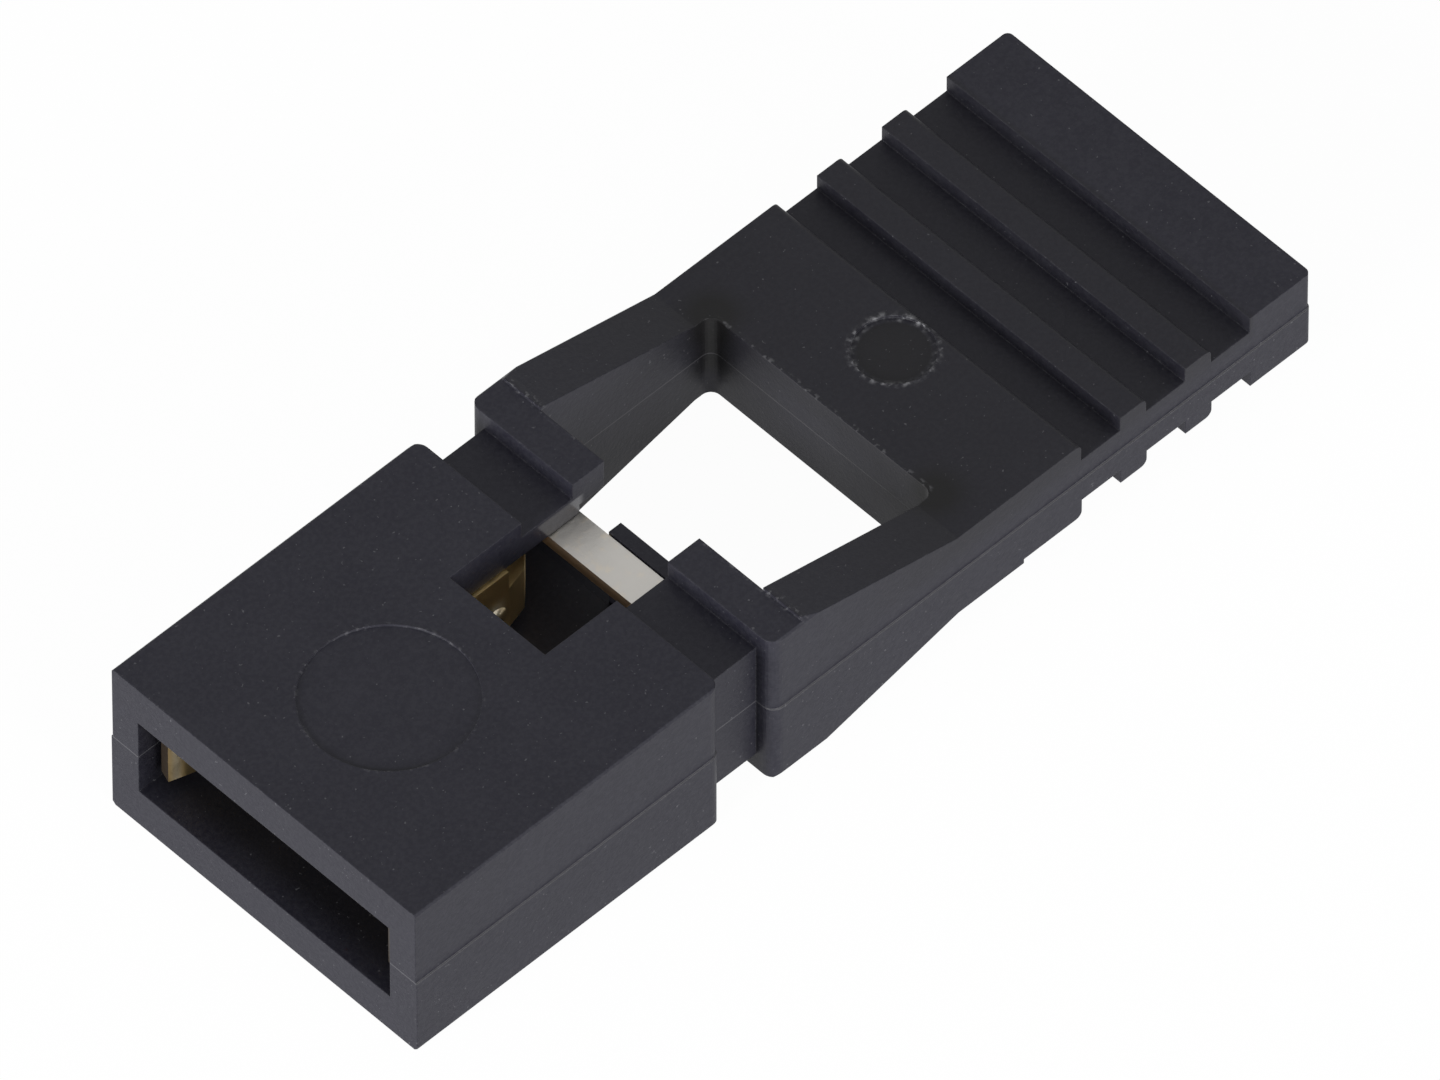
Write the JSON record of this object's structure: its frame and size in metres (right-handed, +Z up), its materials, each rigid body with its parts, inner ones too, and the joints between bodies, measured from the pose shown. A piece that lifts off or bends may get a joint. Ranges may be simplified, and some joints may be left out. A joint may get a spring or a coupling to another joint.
{
  "type": "jumper shunt",
  "caption": "Long-handled black jumper shunt: an open-ended socket with a sprung metal contact, a neck, a windowed wedge and a flat ribbed grip, which bridges header pins.",
  "frame": {"origin": "middle of the footprint, on the surface that the part lies on", "axes": "+X from the socket's mouth towards the grip, +Z up out of the slotted face, +Y across the width"},
  "size_m": [0.0142, 0.005, 0.0025],
  "materials": {
    "housing": "fine moulded matte, black",
    "contact_clip": "thin plated sheet, worn towards brass at the cut edges"
  },
  "bodies": {
    "root": {"housing": "housing", "contact_clip": "contact_clip"}
  },
  "joints": []
}
